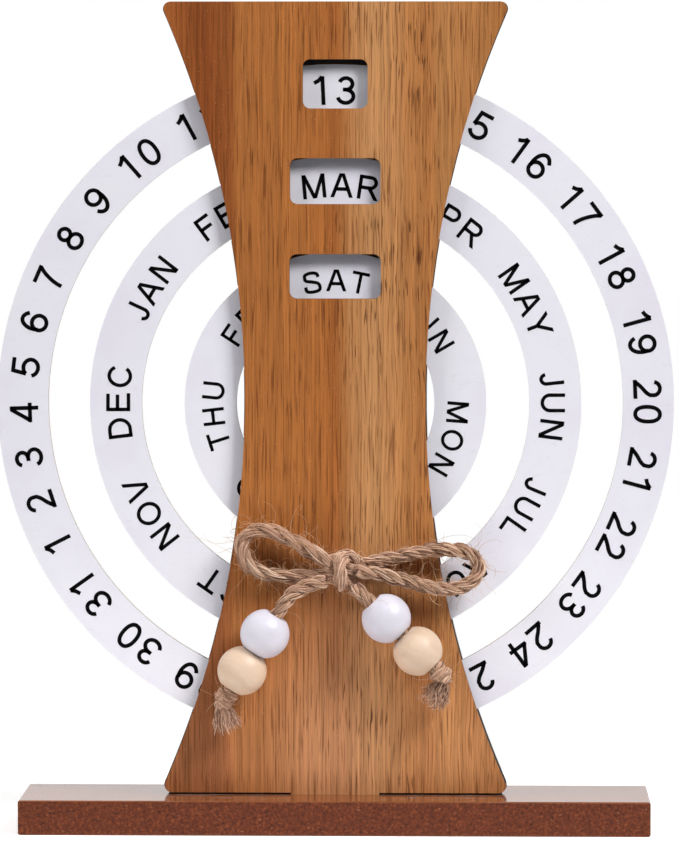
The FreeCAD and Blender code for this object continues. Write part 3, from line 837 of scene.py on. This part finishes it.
def letter_shapes(pen):
    """Each character's advance and pen paths, its height being 1. A path is ('pen', points),
    ('ring', points) for a closed one, or ('slant', points) with its ends cut level."""
    h = pen / 2
    top, low, mid = 1 - h, h, 0.53
    upper = ((top + mid) / 2, (top - mid) / 2)
    lower = ((mid + low) / 2, (mid - low) / 2)
    half_slant = 0.55 * pen

    def stem(x):
        return "pen", [(x, 0), (x, 1)]

    def bar(left, right, y):
        return "pen", [(left, y), (right, y)]

    def slant(foot, head):
        return "slant", [(foot, 0), (head, 1)]

    def bowl(x, wide, high, deep):
        half = (high - deep) / 2
        return "pen", [(0.13, high)] + arc(x, (high + deep) / 2, wide - h, half, 90, -90) + [(0.13, deep)]

    six = [("ring", arc(0.382, 0.325, 0.327 - h, 0.325 - h, 0, 360, 32)),
           ("pen", arc(0.405, 0.5, 0.353 - h, 0.5 - h, 32, 205))]
    return {
        "0": (0.777, [("ring", arc(0.385, 0.5, 0.3265 - h, 0.5 - h, 0, 360, 36, 2.25))]),
        "1": (0.777, [stem(0.52 - h),
                      ("pen", flow([(0.152, 0.77), (0.30, 0.845), (0.41, 0.95), (0.44, 0.99)]))]),
        "2": (0.777, [("pen", arc(0.375, 0.715, 0.30 - h, 0.285 - h, 172, -12)
                       + flow([(0.61, 0.60), (0.50, 0.45), (0.30, 0.28), (0.15, 0.12), (0.125, 0.06)])[1:]),
                      bar(0.042, 0.703, low)]),
        "3": (0.777, [("pen", arc(0.37, upper[0], 0.295 - h, upper[1], 165, -90) + [(0.27, mid)]),
                      ("pen", [(0.27, mid)] + arc(0.37, lower[0], 0.342 - h, lower[1], 90, -168))]),
        "4": (0.777, [stem(0.53), bar(0.03, 0.71, 0.295),
                      ("slant", [(0.085, 0.28), (0.51, 0.99)])]),
        "5": (0.777, [("pen", [(0.665, top), (0.205, top), (0.135, 0.47)]),
                      ("pen", arc(0.365, 0.327, 0.353 - h, 0.327 - h, 143, -168))]),
        "6": (0.777, six),
        "7": (0.777, [bar(0.066, 0.70, top),
                      ("pen", flow([(0.655, 0.93), (0.52, 0.74), (0.40, 0.48), (0.325, 0.22),
                                    (0.30, 0.0)]))]),
        "8": (0.777, [("ring", arc(0.384, upper[0], 0.272 - h, upper[1], 0, 360, 30)),
                      ("ring", arc(0.384, lower[0], 0.327 - h, lower[1], 0, 360, 32))]),
        "9": (0.777, [(kind, [(0.77 - x, 1 - y) for x, y in points]) for kind, points in six]),
        "A": (0.931, [slant(half_slant, 0.4665 - 0.4 * h),
                      slant(0.933 - half_slant, 0.4665 + 0.4 * h),
                      bar(0.20, 0.73, 0.35)]),
        "B": (0.931, [stem(0.102 + h), bowl(0.52, 0.28, top, mid), bowl(0.55, 0.318, mid, low)]),
        "C": (1.008, [("pen", arc(0.535, 0.5, 0.465 - h, 0.515 - h, 33, 327, 30))]),
        "D": (1.008, [stem(0.108 + h), bowl(0.46, 0.48, top, low)]),
        "E": (0.931, [stem(0.11 + h), bar(0.13, 0.838, top),
                      bar(0.13, 0.80, mid), bar(0.13, 0.857, low)]),
        "F": (0.853, [stem(0.115 + h), bar(0.13, 0.79, top), bar(0.13, 0.70, 0.51)]),
        "G": (1.086, [("pen", arc(0.545, 0.5, 0.472 - h, 0.515 - h, 35, 320, 30)
                       + [(0.99 - h, 0.15), (0.99 - h, 0.46), (0.56, 0.46)])]),
        "H": (1.008, [stem(0.112 + h), stem(0.895 - h), bar(0.13, 0.88, mid)]),
        "I": (0.388, [stem(0.196)]),
        "J": (0.698, [("pen", [(0.574 - h, 1)] + arc(0.307, 0.28, 0.267 - h, 0.295 - h, 0, -172))]),
        "L": (0.777, [stem(0.102 + h), bar(0.13, 0.727, low)]),
        "M": (1.163, [stem(0.104 + h), stem(1.059 - h),
                      slant(0.5815, 0.104 + half_slant), slant(0.5815, 1.059 - half_slant)]),
        "N": (1.008, [stem(0.106 + h), stem(0.894 - h),
                      slant(0.894 - 1.2 * half_slant, 0.106 + 1.2 * half_slant)]),
        "O": (1.086, [("ring", arc(0.5435, 0.5, 0.4765 - h, 0.515 - h, 0, 360, 36))]),
        "P": (0.931, [stem(0.108 + h), bowl(0.57, 0.298, top, 0.46)]),
        "R": (1.008, [stem(0.110 + h), bowl(0.60, 0.295, top, 0.49),
                      ("slant", [(0.56, 0.49), (0.985 - half_slant, 0)])]),
        "S": (0.931, [("pen", flow([(0.80 - 0.2 * h, 0.70), (0.73, 0.865), (0.47, 1.01 - h), (0.21, 0.88),
                                    (0.09 + h, 0.74), (0.21, 0.61), (0.47, 0.525), (0.71, 0.43),
                                    (0.86 - h, 0.28), (0.74, 0.115), (0.47, h - 0.01), (0.18, 0.125),
                                    (0.063 + h, 0.33)]))]),
        "T": (0.853, [bar(0.033, 0.821, top), ("pen", [(0.427, 0), (0.427, top)])]),
        "U": (1.008, [("pen", [(0.11 + h, 1)] + arc(0.5035, 0.37, 0.3935 - h, 0.385 - h, 180, 360)
                       + [(0.897 - h, 1)])]),
        "V": (0.931, [slant(0.4655 - 0.4 * h, 0.006 + half_slant),
                      slant(0.4655 + 0.4 * h, 0.925 - half_slant)]),
        "W": (1.318, [slant(0.345, 0.017 + half_slant), slant(0.345, 0.66),
                      slant(0.975, 0.66), slant(0.975, 1.303 - half_slant)]),
        "Y": (0.931, [("slant", [(0.004 + half_slant, 1), (0.4655, 0.42)]),
                      ("slant", [(0.927 - half_slant, 1), (0.4655, 0.42)]),
                      ("pen", [(0.4655, 0), (0.4655, 0.47)])]),
    }


def ribbon(kind, points, pen):
    """The two sides of a pen stroke, as pairs of points."""
    h = pen / 2
    if kind == "slant":
        (x0, y0), (x1, y1) = points
        half = h * math.hypot(x1 - x0, y1 - y0) / abs(y1 - y0)
        return [((x0 - half, y0), (x0 + half, y0)), ((x1 - half, y1), (x1 + half, y1))]
    path = [Vector(point) for point in points]
    if kind == "ring":
        path = path[:-1]
    kept = [path[0]]
    for point in path[1:]:
        if (point - kept[-1]).length > 1e-4:
            kept.append(point)
    pairs = []
    for index, here in enumerate(kept):
        before = kept[index - 1] if index or kind == "ring" else None
        after = kept[(index + 1) % len(kept)] if index < len(kept) - 1 or kind == "ring" else None
        into = (here - before).normalized() if before else None
        out = (after - here).normalized() if after else into
        into = into or out
        edge = Vector((-into.y - out.y, into.x + out.x)).normalized()
        reach = h / max(0.5, edge.dot(Vector((-out.y, out.x))))
        pairs.append((tuple(here - edge * reach), tuple(here + edge * reach)))
    return pairs


def print_ring(name, words, height, pen, tracking, radius):
    """Thin raised print on a ring. words: (text, degrees clockwise from the top)."""
    shapes = letter_shapes(pen / height)
    places, faces = [], []
    front, back = paper_face - PRINT_PROUD, paper_face + PRINT_SUNK
    for text, turned in words:
        widths = [shapes[letter][0] * height + tracking for letter in text]
        at = -sum(widths) / 2 + tracking / 2
        for letter, width in zip(text, widths):
            middle = at + (width - tracking) / 2
            angle = math.radians(turned) + middle / radius
            c, s = math.cos(angle), math.sin(angle)
            for kind, points in shapes[letter][1]:
                pairs = ribbon(kind, points, pen / height)
                base = len(places)
                for pair in pairs:
                    for y in (front, back):
                        for u, v in pair:
                            across = u * height - (width - tracking) / 2
                            rise = radius - height / 2 + v * height
                            places.append((rise * s + across * c, y, ring_z + rise * c - across * s))
                last = len(pairs) if kind == "ring" else len(pairs) - 1
                for step in range(last):
                    a, b = base + 4 * step, base + 4 * ((step + 1) % len(pairs))
                    faces += [(a, a + 1, b + 1, b), (a + 2, b + 2, b + 3, a + 3),
                              (a, b, b + 2, a + 2), (a + 1, a + 3, b + 3, b + 1)]
                if kind != "ring":
                    a, b = base, base + 4 * (len(pairs) - 1)
                    faces += [(a, a + 2, a + 3, a + 1), (b, b + 1, b + 3, b + 2)]
            at += width
    mesh = bpy.data.meshes.new(name + "_ring_lettering")
    mesh.from_pydata(places, [], faces)
    mesh.materials.append(ink)
    print_made = added(name + "_ring_lettering", mesh)
    bpy.ops.object.select_all(action="DESELECT")
    bpy.context.view_layer.objects.active = print_made
    print_made.select_set(True)
    bpy.ops.object.mode_set(mode="EDIT")
    bpy.ops.mesh.select_all(action="SELECT")
    bpy.ops.mesh.normals_make_consistent(inside=False)
    bpy.ops.object.mode_set(mode="OBJECT")
    print_made.select_set(False)
    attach(print_made, name + "_ring")


# The print isn't evenly spaced: where each word sits, in degrees clockwise from the top.
dates = [(str(day), -0.3 + (day - 13) * 12.86) for day in range(10, 29)]
dates += [(str(day), 0.4 + (day - 13) * 12.87) for day in range(29, 32)]
dates += [(str(day), -49.7 - (9 - day) * 8.41) for day in range(1, 10)]
months = [("MAR", 1.2), ("APR", 31.8), ("MAY", 61.7), ("JUN", 90.9), ("JUL", 119.0), ("AUG", 146.3),
          ("SEP", 177.0), ("OCT", 207.7), ("NOV", 239.0), ("DEC", 270.0), ("JAN", 301.9), ("FEB", 330.2)]
weekdays = [("SAT", 0.0), ("SUN", 48.0), ("MON", 106.9), ("TUE", 160.0), ("WED", 213.0),
            ("THU", 264.3), ("FRI", 312.3)]
print_ring("date", dates, 9.2 * MM, 1.27 * MM, 0.9 * MM, 100.3 * MM)
print_ring("month", months, 7.75 * MM, 1.14 * MM, 0.85 * MM, 69.9 * MM)
print_ring("weekday", weekdays, 7.0 * MM, 1.04 * MM, 1.3 * MM, 39.4 * MM)


# ---------------------------------------------------------------- floor and light

bpy.ops.object.select_all(action="DESELECT")
bpy.ops.mesh.primitive_circle_add(vertices=96, radius=FLOOR_RADIUS, fill_type="NGON",
                                  location=(0.0, 0.0, 0.0))
floor = bpy.context.object
floor.name = "studio_floor"
floor_paint = Finish("studio_white", roughness=0.9, Emission_Color=(1, 1, 1, 1), Emission_Strength=0.42)
floor_tone = floor_paint.noise(floor_paint.place(), scale=0.002, detail=2.0)
floor.data.materials.append(floor_paint.colour(floor_paint.ramp(floor_tone, [
    (0.3, tint(250, 250, 250)), (0.7, tint(255, 255, 255))])))
floor.select_set(False)

world = bpy.data.worlds.new("studio")
bpy.context.scene.world = world
world.use_nodes = True
sky = world.node_tree
plain = sky.nodes["Background"]
plain.inputs["Color"].default_value = (1.0, 1.0, 1.0, 1.0)
rays = sky.nodes.new("ShaderNodeLightPath")
heading = sky.nodes.new("ShaderNodeSeparateXYZ")
sky.links.new(sky.nodes.new("ShaderNodeTexCoord").outputs["Generated"], heading.inputs[0])


def sky_level(share, low, high, at_low=0.0, at_high=1.0):
    """A strength that goes from low to high as share goes from at_low to at_high."""
    made = sky.nodes.new("ShaderNodeMapRange")
    for socket, value in zip(made.inputs, (share, at_low, at_high, low, high)):
        if isinstance(value, bpy.types.NodeSocket):
            sky.links.new(value, socket)
        else:
            socket.default_value = value
    return made.outputs[0]


# A pale backdrop behind the calendar, a darker room in front of it that only shows as reflections.
room = sky_level(heading.outputs["Y"], ROOM_DARK, 1.0, -0.15, 0.1)
seen = sky_level(rays.outputs["Is Camera Ray"], room, 1.0)
sky.links.new(sky_level(rays.outputs["Is Diffuse Ray"], seen, SKY_FILL), plain.inputs["Strength"])


def softbox(name, place, target, width, height, power):
    """A large soft lamp aimed at a point."""
    lamp = bpy.data.lights.new(name, "AREA")
    lamp.shape = "RECTANGLE"
    lamp.size, lamp.size_y = width, height
    lamp.energy = power
    holder = added(name, lamp)
    holder.location = place
    holder.rotation_mode = "QUATERNION"
    holder.rotation_quaternion = (Vector(target) - Vector(place)).to_track_quat("-Z", "Y")
    return holder


middle = Vector((0.0, 0.0, 0.13))
fill = softbox("left_softbox", (-0.85, -0.30, 0.60), middle, 0.42, 0.42, 7.1)
fill.visible_glossy = False      # it only fills the shadows, the highlights are the right one's
softbox("right_softbox", (0.72, -0.50, 0.95), middle, 0.42, 0.42, 16.2)
softbox("top_softbox", (0.06, -0.62, 1.05), middle, 0.5, 0.35, 1.4)


# ---------------------------------------------------------------- scene update

bpy.context.view_layer.update()
